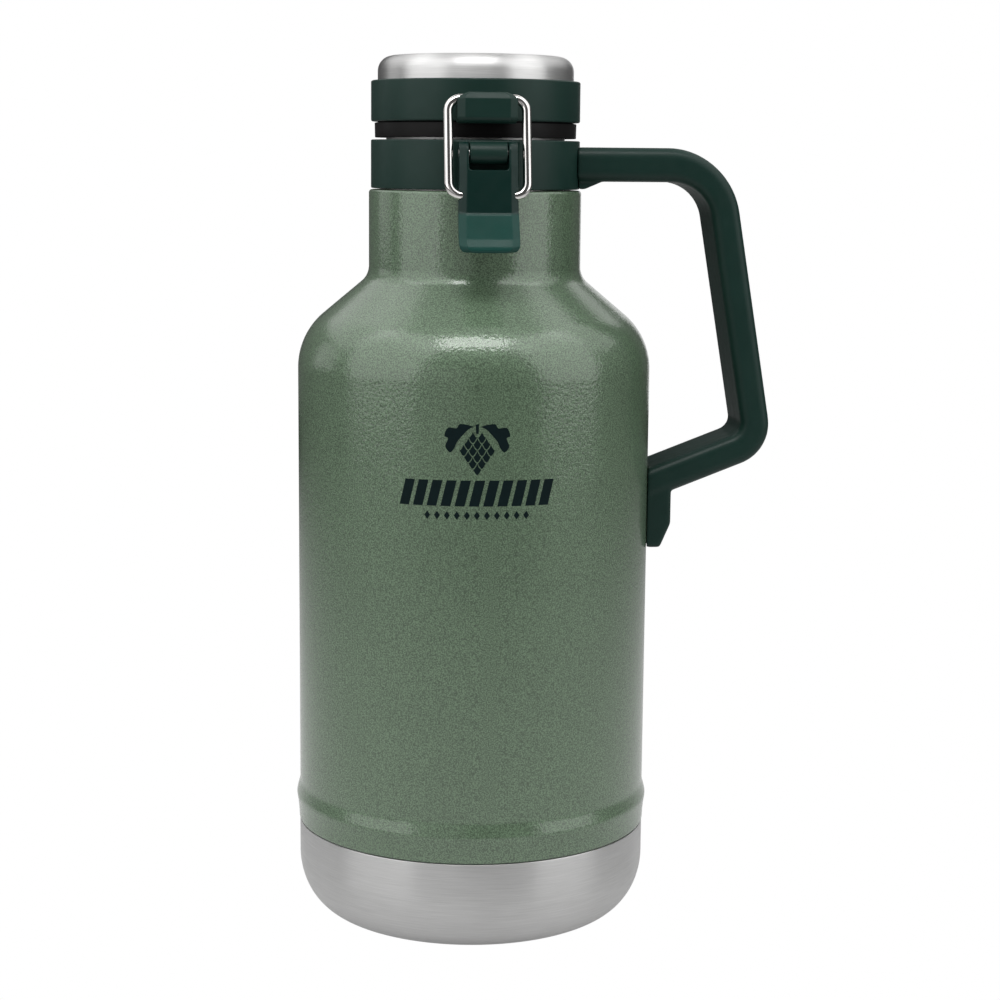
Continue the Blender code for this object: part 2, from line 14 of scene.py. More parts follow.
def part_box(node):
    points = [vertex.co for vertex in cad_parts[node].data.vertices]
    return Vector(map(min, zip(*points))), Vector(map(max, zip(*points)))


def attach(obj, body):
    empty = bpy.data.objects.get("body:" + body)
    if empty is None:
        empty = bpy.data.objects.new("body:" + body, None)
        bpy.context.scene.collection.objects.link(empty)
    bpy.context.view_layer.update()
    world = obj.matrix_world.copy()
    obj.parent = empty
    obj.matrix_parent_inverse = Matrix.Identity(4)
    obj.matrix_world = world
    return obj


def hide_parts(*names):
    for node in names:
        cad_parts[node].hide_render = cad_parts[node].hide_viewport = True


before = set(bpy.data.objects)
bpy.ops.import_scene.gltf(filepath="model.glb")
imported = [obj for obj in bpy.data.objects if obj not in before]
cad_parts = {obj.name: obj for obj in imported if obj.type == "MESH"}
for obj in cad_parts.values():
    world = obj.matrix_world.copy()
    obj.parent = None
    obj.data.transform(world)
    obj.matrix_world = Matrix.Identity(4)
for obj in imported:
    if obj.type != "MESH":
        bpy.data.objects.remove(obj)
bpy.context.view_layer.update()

MM = 0.001
RING = 192                 # facets round a large turned piece
SMALL_RING = 48            # facets round pins and bores
GAP = 0.3                  # air between two touching pieces
SHARP_TURN = 32.0          # degrees from which an edge is shaded sharp


def low(node, axis):
    """The node's least x, y or z, in millimetres."""
    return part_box(node)[0]["xyz".index(axis)] / MM


def high(node, axis):
    """The node's greatest x, y or z, in millimetres."""
    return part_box(node)[1]["xyz".index(axis)] / MM


# Sizes that the CAD boxes give.
LIP_R = high("outer_shell", "x")
NECK_TOP_Z = high("outer_shell", "z")
CUP_R = high("base_cup", "x")
JOIN_Z = high("base_cup", "z")
MOUTH_TOP_Z = high("inner_vessel", "z")
COLLAR_BOTTOM_Z = low("neck_collar", "z")
CAP_R = high("lid_cap", "x")
CAP_TOP_Z = high("lid_cap", "z")
BAND_R = high("lid_band", "x")
BAND_TOP_Z = high("lid_band", "z")
LINER_R = high("lid_liner", "x")
PLUG_BOTTOM_Z = low("lid_liner", "z")
LEVER_TIP_Z = low("latch_lever", "z")

# Sizes inside those boxes. U is the distance from the axis towards the latch or the hinge.
BODY_R = 60.0
NECK_R = 35.9
SHELL_WALL = 0.6
SHOULDER_Z = 189.4         # where the side starts to curve in
SHOULDER_R = 24.0
CONE_TURN = 50.0           # degrees that the shoulder turns before it runs straight
NECK_FILLET = 7.0
LIP_Z = 41.2
VESSEL_R = 55.4
VESSEL_BOTTOM_Z = 10.5
MOUTH_R = 29.9
CUP_WALL = 0.8
CUP_TURN_IN = 15.0         # the cup's bottom edge is a quarter ellipse, this far in
CUP_TURN_UP = 20.0         # and this far up
COLLAR_R = 35.2
COLLAR_TOP_Z = 266.1
COLLAR_BORE_R = 30.4
BEAD_Z = 261.7
HANDLE_WIDTH = 26.0
ARM_THICK = 11.8
GRIP_THICK = 10.2
FOOT_X = 67.2
FOOT_BOTTOM_Z = 128.2
FOOT_SCREW_Z = 140.0
BAND_BOTTOM_Z = 272.1
BAND_BORE_R = 33.2
DECK_BOTTOM_Z = 278.6
DECK_TOP_Z = 281.0
CAP_CORNER = 5.0
LINER_BOTTOM_Z = 266.8
PLUG_R = 27.4
LID_SCREW_R = 28.9
HINGE_U, HINGE_Z = 43.0, 269.0
HINGE_PIN_R = 1.5
KNUCKLE_R = 3.6
EAR_R = 3.8
HINGE_HALF = 11.0
HINGE_SLOT_HALF = 7.3
LEVER_U, LEVER_Z = 42.2, 261.8         # the lever's pin
LATCH_PIN_R = 1.3
PAD_U = 38.2
PAD_HALF = 11.0
LEVER_HALF = 9.6
LEVER_SLOT_HALF = 6.4
FLARE_TOP_Z = 243.2        # where the lever's flared tip starts
BAIL_U, BAIL_Z = 44.7, 248.4           # the bail's pivot in the lever
BAR_U, BAR_Z = 38.0, 279.0             # the bail's top bar, in the hook
WIRE_R = 1.5
BAIL_HALF = 12.6
BAIL_CORNER = 4.2
CATCH_HALF = 9.75
CATCH_U = 41.6
CATCH_TOP_Z = 281.1
CATCH_BOTTOM_Z = 271.2
LIP_THICK = 1.7


# ---- outlines -------------------------------------------------------------------------------

def arc(centre, radius, start, end, count):
    """Points on an arc, angles in degrees from the first axis."""
    angles = [radians(start + (end - start) * i / count) for i in range(count + 1)]
    return [(centre[0] + radius * cos(a), centre[1] + radius * sin(a)) for a in angles]


def rounded(corners, steps=10, closed=False):
    """An outline through corners given as (x, z, radius), each turned by its own arc."""
    points = []
    last = len(corners) - 1
    for i, (x, z, radius) in enumerate(corners):
        here = Vector((x, z))
        if radius == 0 or (not closed and i in (0, last)):
            points.append((x, z))
            continue
        before = (Vector(corners[i - 1][:2]) - here).normalized()
        after = (Vector(corners[(i + 1) % len(corners)][:2]) - here).normalized()
        half = acos(max(-1.0, min(1.0, before.dot(after)))) / 2
        centre = here + (before + after).normalized() * radius / sin(half)
        start = here + before * radius / tan(half) - centre
        end = here + after * radius / tan(half) - centre
        turn = start.angle_signed(end)
        for k in range(steps + 1):
            arm = Vector((start.x, start.y, 0)) @ Matrix.Rotation(turn * k / steps, 3, "Z")
            points.append((centre.x + arm.x, centre.y + arm.y))
    return points


def inward(points, wall):
    """The same line moved by the wall's thickness to its right, seen along its run."""
    moved = []
    for i, (x, z) in enumerate(points):
        normals = []
        for a, b in ((i - 1, i), (i, i + 1)):
            if a >= 0 and b < len(points):
                run = Vector(points[b]) - Vector(points[a])
                normals.append(Vector((run.y, -run.x)).normalized())
        side = sum(normals, Vector((0, 0))).normalized()
        side /= side.dot(normals[0])
        moved.append((x + side.x * wall, z + side.y * wall))
    return moved


def eased(points, count):
    """A smooth line through points, count steps to each span."""
    line = []
    last = len(points) - 1
    for i in range(last):
        p0, p1, p2, p3 = (Vector(points[max(0, min(last, k))]) for k in range(i - 1, i + 3))
        for k in range(count):
            t = k / count
            spot = (2 * p1 + (p2 - p0) * t + (2 * p0 - 5 * p1 + 4 * p2 - p3) * t * t
                    + (3 * p1 - p0 - 3 * p2 + p3) * t ** 3) / 2
            line.append((spot.x, spot.y))
    return line + [tuple(points[last])]


def shoulder(body_r, neck_r, arc_r, fillet, steps=28):
    """Neck, straight cone and rounded shoulder, from the neck down to the body's side."""
    centre = (body_r - arc_r, SHOULDER_Z)
    bend = arc(centre, arc_r, CONE_TURN, 0, steps)
    fall = radians(90 - CONE_TURN)
    cone_top = (neck_r, bend[0][1] + (bend[0][0] - neck_r) * tan(fall))
    reach = fillet * tan((pi / 2 - fall) / 2)
    hollow = arc((neck_r + fillet, cone_top[1] + reach), fillet, 180, 180 + CONE_TURN, steps // 2)
    return hollow + bend


# ---- solids ---------------------------------------------------------------------------------

def mesh_from(shape):
    """A mesh from a bmesh, its faces turned outward."""
    bmesh.ops.recalc_face_normals(shape, faces=shape.faces)
    mesh = bpy.data.meshes.new("shape")
    shape.to_mesh(mesh)
    shape.free()
    return mesh


def lathe(profile, segments=RING, closed=False):
    """A turned solid from (radius, height) points; a point on the axis becomes a pole."""
    shape = bmesh.new()
    rings = []
    for r, z in profile:
        if r < 1e-6:
            rings.append([shape.verts.new((0.0, 0.0, z))])
        else:
            turns = (2 * pi * k / segments for k in range(segments))
            rings.append([shape.verts.new((r * cos(t), r * sin(t), z)) for t in turns])
    following = rings[1:] + ([rings[0]] if closed else [])
    for a, b in zip(rings, following):
        for k in range(segments):
            corners = (a[k % len(a)], a[(k + 1) % len(a)], b[(k + 1) % len(b)], b[k % len(b)])
            face = list(dict.fromkeys(corners))
            if len(face) > 2:
                shape.faces.new(face)
    return mesh_from(shape)


def loft(sections):
    """A closed solid through sections of equal point count, given as 3-D points."""
    shape = bmesh.new()
    rings = [[shape.verts.new(p) for p in section] for section in sections]
    count = len(rings[0])
    for a, b in zip(rings, rings[1:]):
        for k in range(count):
            shape.faces.new((a[k], a[(k + 1) % count], b[(k + 1) % count], b[k]))
    shape.faces.new(rings[0])
    shape.faces.new(rings[-1])
    return mesh_from(shape)


def plate(outline, half, plane, offset=0.0):
    """An outline made into a plate, half to each side: plane "xz", or "uz" with u along -Y."""
    def spot(a, b, side):
        return (a, side, b) if plane == "xz" else (side, -a, b)
    return loft([[spot(a, b, offset + side) for a, b in outline] for side in (-half, half)])


def box(near, far):
    """A cuboid between two corners."""
    (x0, y0, z0), (x1, y1, z1) = near, far
    return loft([[(x0, y0, z), (x1, y0, z), (x1, y1, z), (x0, y1, z)] for z in (z0, z1)])


def rod(start, end, radius, segments=SMALL_RING):
    """A cylinder between two points."""
    start, end = Vector(start), Vector(end)
    turn = Vector((0, 0, 1)).rotation_difference(end - start).to_matrix()
    sections = []
    for centre in (start, end):
        angles = (2 * pi * k / segments for k in range(segments))
        sections.append([centre + turn @ Vector((radius * cos(t), radius * sin(t), 0)) for t in angles])
    return loft(sections)


def pin(start, end, radius, crown=0.35):
    """A round pin with softly rounded ends."""
    start, end = Vector(start), Vector(end)
    length = (end - start).length
    steps = 6
    profile = [(0.0, 0.0)]
    profile += [(radius - crown + crown * sin(a), crown - crown * cos(a))
                for a in (pi / 2 * k / steps for k in range(steps + 1))]
    profile += [(radius - crown + crown * cos(a), length - crown + crown * sin(a))
                for a in (pi / 2 * k / steps for k in range(steps + 1))]
    mesh = lathe(profile + [(0.0, length)], SMALL_RING)
    turn = Vector((0, 0, 1)).rotation_difference(end - start).to_matrix().to_4x4()
    mesh.transform(Matrix.Translation(start) @ turn)
    return mesh


def bevelled(mesh, width, segments=3, angle=30.0):
    """The mesh with its corners sharper than the angle rounded off."""
    shape = bmesh.new()
    shape.from_mesh(mesh)
    edges = [e for e in shape.edges if e.is_manifold and e.calc_face_angle() > radians(angle)]
    bmesh.ops.bevel(shape, geom=edges, offset=width, segments=segments, profile=0.5,
                    affect="EDGES", clamp_overlap=True)
    return mesh_from(shape)


def held(mesh):
    """A loose object that holds a mesh while modifiers work on it."""
    thing = bpy.data.objects.new("work", mesh)
    bpy.context.scene.collection.objects.link(thing)
    return thing


def worked(thing):
    """The mesh that an object's modifiers make; the object goes."""
    bpy.context.view_layer.update()
    seen = thing.evaluated_get(bpy.context.evaluated_depsgraph_get())
    mesh = bpy.data.meshes.new_from_object(seen)
    bpy.data.objects.remove(thing)
    return mesh


def combined(mesh, joins=(), cuts=()):
    """One solid: the mesh with others joined on, then others cut away."""
    thing = held(mesh)
    tools = []
    for operation, meshes in (("UNION", joins), ("DIFFERENCE", cuts)):
        for other in meshes:
            tools.append(held(other))
            step = thing.modifiers.new(operation.lower(), "BOOLEAN")
            step.operation = operation
            step.solver = "EXACT"
            step.object = tools[-1]
    made = worked(thing)
    for tool in tools:
        bpy.data.objects.remove(tool)
    return made


def moulded(mesh, grain, rounds):
    """The solid as a mould leaves it: every edge and inside corner a little rounded."""
    thing = held(mesh)
    skin = thing.modifiers.new("skin", "REMESH")
    skin.mode = "VOXEL"
    skin.voxel_size = grain
    soft = thing.modifiers.new("soft", "SMOOTH")
    soft.factor = 0.5
    soft.iterations = rounds
    return worked(thing)


def piece(name, mesh, body, look, replaces=()):
    """A finished piece: a mesh in millimetres that rides its body and stands for CAD nodes."""
    mesh.transform(Matrix.Scale(MM, 4))
    mesh.name = name
    mesh.shade_smooth()
    mesh.set_sharp_from_angle(angle=radians(SHARP_TURN))
    mesh.materials.clear()
    mesh.materials.append(look)
    made = bpy.data.objects.new(name, mesh)
    bpy.context.scene.collection.objects.link(made)
    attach(made, body)
    if replaces:
        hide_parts(*replaces)
    return made


# ---- materials ------------------------------------------------------------------------------

class Look:
    """A Principled material with the few nodes that give it grain, mottling and bump."""

    def __init__(self, name, colour, roughness, metallic=0.0, **sockets):
        self.material = bpy.data.materials.new(name)
        self.material.use_nodes = True
        self.material.diffuse_color = (*colour, 1.0)
        self.tree = self.material.node_tree
        self.shader = self.tree.nodes["Principled BSDF"]
        self.colour = colour
        self.set("Base Color", (*colour, 1.0))
        self.set("Roughness", roughness)
        self.set("Metallic", metallic)
        for socket, value in sockets.items():
            self.set(socket.replace("_", " ").title().replace("Ior", "IOR"), value)
        self.place = self.node("ShaderNodeTexCoord").outputs["Object"]
        self.height = None

    def set(self, socket, value):
        """Sets one of the shader's own sockets."""
        self.shader.inputs[socket].default_value = value

    def node(self, kind, **values):
        """A new node of that kind in the material."""
        made = self.tree.nodes.new(kind)
        for key, value in values.items():
            setattr(made, key, value)
        return made

    def link(self, source, target):
        self.tree.links.new(source, target)

    def noise(self, size, detail=2.0, rough=0.5):
        """Noise whose blobs are about size millimetres."""
        mapping = self.node("ShaderNodeMapping")
        mapping.inputs["Scale"].default_value = [1.0 / (size * MM)] * 3
        self.link(self.place, mapping.inputs["Vector"])
        made = self.node("ShaderNodeTexNoise")
        made.inputs["Scale"].default_value = 1.0
        made.inputs["Detail"].default_value = detail
        made.inputs["Roughness"].default_value = rough
        self.link(mapping.outputs["Vector"], made.inputs["Vector"])
        return made.outputs["Fac"]

    def turned_noise(self, size, streak, detail=3.0):
        """Noise in fine rings round the Z axis, size wide and streak long, on walls and on faces."""
        mapping = self.node("ShaderNodeMapping")
        along, across = 1 / (streak * MM), 1 / (size * MM)
        mapping.inputs["Scale"].default_value = (along, along, across)
        self.link(self.place, mapping.inputs["Vector"])
        flat = self.node("ShaderNodeVectorMath", operation="MULTIPLY")
        flat.inputs[1].default_value = (1.0, 1.0, 0.0)
        self.link(self.place, flat.inputs[0])
        radius = self.node("ShaderNodeVectorMath", operation="LENGTH")
        self.link(flat.outputs["Vector"], radius.inputs[0])
        wide = self.node("ShaderNodeMath", operation="MULTIPLY")
        wide.inputs[1].default_value = across
        self.link(radius.outputs["Value"], wide.inputs[0])
        made = self.node("ShaderNodeTexNoise", noise_dimensions="4D")
        made.inputs["Scale"].default_value = 1.0
        made.inputs["Detail"].default_value = detail
        self.link(mapping.outputs["Vector"], made.inputs["Vector"])
        self.link(wide.outputs["Value"], made.inputs["W"])
        return made.outputs["Fac"]

    def spread(self, source, low_in, high_in, low_out, high_out):
        """The source's range low_in..high_in mapped to low_out..high_out."""
        made = self.node("ShaderNodeMapRange")
        for socket, value in zip(("From Min", "From Max", "To Min", "To Max"),
                                 (low_in, high_in, low_out, high_out)):
            made.inputs[socket].default_value = value
        self.link(source, made.inputs["Value"])
        return made.outputs["Result"]

    def tint(self, source, share):
        """Brightens and darkens the base colour by up to that share as the source varies."""
        factor = self.spread(source, 0.3, 0.7, 1 - share, 1 + share)
        made = self.node("ShaderNodeVectorMath", operation="SCALE")
        current = self.shader.inputs["Base Color"]
        if current.is_linked:
            self.link(current.links[0].from_socket, made.inputs[0])
        else:
            made.inputs[0].default_value = self.colour
        self.link(factor, made.inputs["Scale"])
        self.link(made.outputs["Vector"], current)

    def vary_roughness(self, source, low_value, high_value):
        """Roughness between the two values as the source varies."""
        self.link(self.spread(source, 0.3, 0.7, low_value, high_value),
                  self.shader.inputs["Roughness"])

    def bump(self, source, depth):
        """Relief of that depth in millimetres, on top of any before it."""
        made = self.node("ShaderNodeBump")
        made.inputs["Strength"].default_value = 1.0
        made.inputs["Distance"].default_value = depth * MM
        self.link(source, made.inputs["Height"])
        if self.height is not None:
            self.link(self.height, made.inputs["Normal"])
        self.height = made.outputs["Normal"]
        self.link(self.height, self.shader.inputs["Normal"])
        return self.height


def hammertone_paint():
    """Half-metallic paint under a clear coat, with fine specks and a slight orange peel."""
    look = Look("hammertone_paint", (0.098, 0.155, 0.093), 0.46, 0.22,
                coat_weight=0.9, coat_roughness=0.10, coat_ior=1.57)
    fine = look.noise(0.40, detail=0.0)
    peel = look.noise(1.0, detail=1.5, rough=0.45)
    broad = look.noise(26.0, detail=2.0)
    look.tint(fine, 0.42)
    look.tint(peel, 0.05)
    look.tint(broad, 0.025)
    look.vary_roughness(peel, 0.40, 0.52)
    look.bump(peel, 0.085)
    relief = look.bump(fine, 0.018)
    look.link(relief, look.shader.inputs["Coat Normal"])
    return look.material


def brushed_steel(name, colour, roughness, anisotropic):
    """Steel brushed in rings round Z, so its highlights stretch across the rings."""
    look = Look(name, colour, roughness, 1.0, anisotropic=anisotropic, anisotropic_rotation=0.25)
    tangent = look.node("ShaderNodeTangent", direction_type="RADIAL", axis="Z")
    look.link(tangent.outputs["Tangent"], look.shader.inputs["Tangent"])
    lines = look.turned_noise(0.10, 9.0)
    wide = look.turned_noise(0.8, 30.0, detail=2.0)
    cloud = look.noise(18.0, detail=2.0)
    look.tint(lines, 0.10)
    look.tint(wide, 0.03)
    look.vary_roughness(cloud, roughness - 0.03, roughness + 0.03)
    look.bump(lines, 0.002)
    return look.material


def bare_steel():
    """Plain turned steel of the pins, the screws and the hidden fittings."""
    look = Look("bare_steel", (0.60, 0.59, 0.58), 0.30, 1.0)
    look.tint(look.turned_noise(0.25, 14.0), 0.06)
    look.vary_roughness(look.noise(6.0), 0.24, 0.36)
    look.bump(look.turned_noise(0.2, 10.0), 0.003)
    return look.material


def polished_wire():
    """Bright drawn wire with faint marks."""
    look = Look("polished_wire", (0.80, 0.78, 0.76), 0.10, 1.0)
    look.tint(look.noise(3.0), 0.03)
    look.vary_roughness(look.noise(0.8), 0.07, 0.14)
    look.bump(look.noise(0.5), 0.002)
    return look.material


def moulded_plastic(name, colour, roughness, gloss):
    """Satin moulded plastic with a fine spark-eroded grain and soft mottling."""
    look = Look(name, colour, roughness, specular_ior_level=gloss)
    grain = look.noise(0.35, detail=2.0)
    look.tint(look.noise(9.0), 0.05)
    look.tint(grain, 0.05)
    look.vary_roughness(look.noise(4.0), roughness - 0.04, roughness + 0.04)
    look.bump(grain, 0.006)
    return look


def lever_plastic_painted_light():
    """The green plastic, darker as painted shade on the upper lever and brighter as painted light on
    the flared tip, which faces up into the light.
    """
    # Darker than the collar's green plastic: painted shade on the lever's upper faces.
    look = moulded_plastic("lever_plastic_painted_light", (0.002, 0.019, 0.015), 0.38, 0.26)
    split = look.node("ShaderNodeSeparateXYZ")
    look.link(look.place, split.inputs["Vector"])
    # Painted light: the base colour is raised 2.6 times below FLARE_TOP_Z, where the flared tip faces
    # up into the light.
    painted_tip_light = look.spread(split.outputs["Z"], FLARE_TOP_Z * MM, (FLARE_TOP_Z - 1.0) * MM, 1.0, 2.6)
    scaled = look.node("ShaderNodeVectorMath", operation="SCALE")
    look.link(look.shader.inputs["Base Color"].links[0].from_socket, scaled.inputs[0])
    look.link(painted_tip_light, scaled.inputs["Scale"])
    look.link(scaled.outputs["Vector"], look.shader.inputs["Base Color"])
    return look.material


def soft_rubber():
    """Matt silicone of the seal."""
    look = Look("soft_rubber", (0.05, 0.05, 0.05), 0.65)
    look.tint(look.noise(5.0), 0.08)
    look.bump(look.noise(0.3), 0.01)
    return look.material


def insulating_foam():
    """Pale foam with small closed cells."""
    look = Look("insulating_foam", (0.75, 0.73, 0.66), 0.95)
    cells = look.node("ShaderNodeTexVoronoi")
    cells.inputs["Scale"].default_value = 1 / (0.8 * MM)
    look.link(look.place, cells.inputs["Vector"])
    look.tint(cells.outputs["Distance"], 0.12)
    look.bump(cells.outputs["Distance"], 0.15)
    return look.material


def printed_ink():
    """Matt dark ink with a slight unevenness."""
    look = Look("printed_ink", (0.0035, 0.0105, 0.0115), 0.6)
    look.set("Specular IOR Level", 0.08)
    look.tint(look.noise(2.0), 0.10)
    look.bump(look.noise(1.5, detail=2.0, rough=0.45), 0.03)
    return look.material


PAINT = hammertone_paint()
CUP_STEEL = brushed_steel("cup_steel", (0.55, 0.548, 0.545), 0.36, 0.80)
CAP_STEEL = brushed_steel("cap_steel", (0.72, 0.717, 0.712), 0.44, 0.85)
VESSEL_STEEL = brushed_steel("vessel_steel", (0.70, 0.695, 0.69), 0.46, 0.4)
BARE_STEEL = bare_steel()
WIRE = polished_wire()
GREEN = moulded_plastic("green_plastic", (0.006, 0.026, 0.020), 0.42, 0.26).material
# The lever's plastic carries painted shade on its upper faces and painted light on its tip.
LEVER_GREEN_PAINTED_LIGHT = lever_plastic_painted_light()
BLACK = moulded_plastic("black_plastic", (0.004, 0.0036, 0.0036), 0.45, 0.17).material
RUBBER = soft_rubber()
FOAM = insulating_foam()
INK = printed_ink()


# ---- bottle ---------------------------------------------------------------------------------

def make_body():
    """Painted shell with its rolled neck top, shoulder, raised lip and hidden skirt."""
    skirt_r = CUP_R - CUP_WALL - 0.5
    line = [(MOUTH_R + 0.4, NECK_TOP_Z)]
    line += arc((NECK_R - 1.1, NECK_TOP_Z - 1.1), 1.1, 90, 0, 8)
    line += shoulder(BODY_R, NECK_R, SHOULDER_R, NECK_FILLET)
    line += [(BODY_R, 120.0)]
    lip = eased([(BODY_R, 47.5), (BODY_R + 0.05, 45.6), (BODY_R + 0.62, 43.2), (LIP_R, LIP_Z),
                 (LIP_R - 0.12, 39.8), (LIP_R - 0.42, 37.8), (BODY_R + 0.42, 35.2),
                 (BODY_R + 0.3, JOIN_Z + GAP + 0.5)], 5)
    line += [(min(r, LIP_R), z) for r, z in lip]
    line += arc((BODY_R, JOIN_Z + GAP + 0.3), 0.3, -10, -90, 3)
    line += [(skirt_r, JOIN_Z + GAP)]
    line += arc((skirt_r - 14.0, 20.0), 14.0, 0, -90, 8) + [(36.0, 6.0)]
    mesh = lathe(line + inward(line, SHELL_WALL)[::-1], closed=True)
    piece("painted_body", mesh, "flask", PAINT, ["outer_shell"])


def make_vessel():
    """Bare steel vessel with its mouth tube, bead and rolled rim."""
    rim = arc((MOUTH_R - 0.1, MOUTH_TOP_Z - 0.9), 0.9, 150, -60, 12)
    bead = eased([(MOUTH_R, BEAD_Z + 1.8), (MOUTH_R + 0.5, BEAD_Z + 1.1), (MOUTH_R + 1.1, BEAD_Z),
                  (MOUTH_R + 0.5, BEAD_Z - 1.1), (MOUTH_R, BEAD_Z - 1.8)], 4)
    corner = arc((VESSEL_R - 12.0, VESSEL_BOTTOM_Z + 12.0), 12.0, 0, -90, 10)
    outer = rim + bead + shoulder(VESSEL_R, MOUTH_R, SHOULDER_R - 4.6, NECK_FILLET + 4.6, 16)
    outer += corner + [(0.0, VESSEL_BOTTOM_Z)]
    wall = SHELL_WALL
    inside = [(MOUTH_R - wall, MOUTH_TOP_Z - 1.6)]
    inside += shoulder(VESSEL_R - wall, MOUTH_R - wall, SHOULDER_R - 4.6 - wall,
                       NECK_FILLET + 4.6 + wall, 16)
    floor, corner_r = VESSEL_BOTTOM_Z + wall, 12.0 - wall
    inside += arc((VESSEL_R - 12.0, floor + corner_r), corner_r, 0, -90, 10) + [(0.0, floor)]
    mesh = lathe(inside[::-1] + outer, 128)
    piece("steel_vessel", mesh, "flask", VESSEL_STEEL, ["inner_vessel"])


def make_cup():
    """Brushed cup round the bottom, its top edge rounded a little."""
    wall, edge, steps = CUP_WALL, 0.35, 40
    turns = [pi / 2 * k / steps for k in range(steps + 1)]
    side = [(CUP_R - CUP_TURN_IN * (1 - cos(a)), CUP_TURN_UP * (1 - sin(a))) for a in turns]
    outer = arc((CUP_R - edge, JOIN_Z - edge), edge, 90, 0, 5) + side + [(20.0, 0.0), (0.0, 0.0)]
    inner = [(0.0, wall)] + inward(side, wall)[::-1] + [(CUP_R - wall, JOIN_Z - 0.1)]
    mesh = lathe(inner + outer)
    piece("base_cup_steel", mesh, "flask", CUP_STEEL, ["base_cup"])


# ---- printed emblem -------------------------------------------------------------------------

def bract(x, z, width, rise):
    """A scale of the hop cone: curved sides below, and above the hollows of the row over it."""
    def drop(share):
        return rise * (1 - abs(share) ** 1.7)
    steps = [k / 8 for k in range(-8, 9)]
    lower = [(t * width / 2, -drop(t)) for t in steps]
    upper = [(t * width / 2, rise - drop(1 - abs(t))) for t in steps[-2:0:-1]]
    return [(x + 0.86 * a, z + 0.86 * b) for a, b in lower + upper]


def leaf(side):
    """A lobed hop leaf to one side of the cone."""
    ribs = [(1.0, 14.4), (3.4, 15.1), (5.7, 15.2), (6.7, 13.9), (9.4, 14.0), (10.5, 11.5), (9.3, 10.6),
            (10.2, 8.1), (8.7, 6.2), (7.3, 7.6), (6.5, 9.5), (4.7, 11.7), (2.7, 13.7)]
    return [(side * a, b) for a, b in eased(ribs + [ribs[0]], 4)[:-1]]


def emblem_outlines():
    """Closed outlines in millimetres round the emblem's centre, none touching another."""
    shapes = []
    for row, count in enumerate((2, 3, 4, 3, 2, 1)):
        for k in range(count):
            shapes.append(bract((k - (count - 1) / 2) * 2.9, 11.0 - 2.05 * row, 2.9, 2.05))
    shapes += [leaf(-1), leaf(1), [(-0.4, 12.2), (0.4, 12.2), (0.5, 15.4), (-0.6, 15.1)]]
    for k in range(-5, 6):
        x = k * 4.55
        shapes.append([(x - 2.6, -11.1), (x + 0.6, -11.1), (x + 2.6, -2.8), (x - 0.6, -2.8)])
    for k in range(-5, 6):
        x = k * 3.2
        shapes.append([(x - 0.95, -14.1), (x, -15.5), (x + 0.95, -14.1), (x, -12.7)])
    return shapes


def make_emblem():
    """A plain hop emblem with a belt of bars, printed on the front of the bottle."""
    centre_z, turn = 161.8, radians(-94.3)
    ink, inside = 0.05, 0.15
    slice_width = 0.5      # the flat emblem is sliced this fine before it is bent round the bottle
    clear = 0.013          # keeps the slices off the corners of the outlines
    data = bpy.data.curves.new("emblem", "CURVE")
    data.dimensions = "2D"
    data.fill_mode = "BOTH"
    for outline in emblem_outlines():
        line = data.splines.new("POLY")
        line.points.add(len(outline) - 1)
        for spot, (a, b) in zip(line.points, outline):
            spot.co = (a, b, 0.0, 1.0)
        line.use_cyclic_u = True
    curve = bpy.data.objects.new("emblem_curve", data)
    bpy.context.scene.collection.objects.link(curve)
    flat = worked(curve)
    shape = bmesh.new()
    shape.from_mesh(flat)
    bmesh.ops.remove_doubles(shape, verts=shape.verts, dist=1e-4)
    for k in range(-48, 49):
        bmesh.ops.bisect_plane(shape, geom=shape.verts[:] + shape.edges[:] + shape.faces[:],
                               plane_co=(k * slice_width + clear, 0, 0), plane_no=(1, 0, 0))
    front = shape.faces[:]
    made = bmesh.ops.extrude_face_region(shape, geom=front, use_keep_orig=True)
    back = {v for v in made["geom"] if isinstance(v, bmesh.types.BMVert)}
    for vert in shape.verts:
        radius = BODY_R + (-inside if vert in back else ink)
        angle = turn + vert.co.x / BODY_R
        vert.co = (radius * cos(angle), radius * sin(angle), centre_z + vert.co.y)
    piece("printed_emblem", mesh_from(shape), "flask", INK)


# ---- collar and handle ----------------------------------------------------------------------

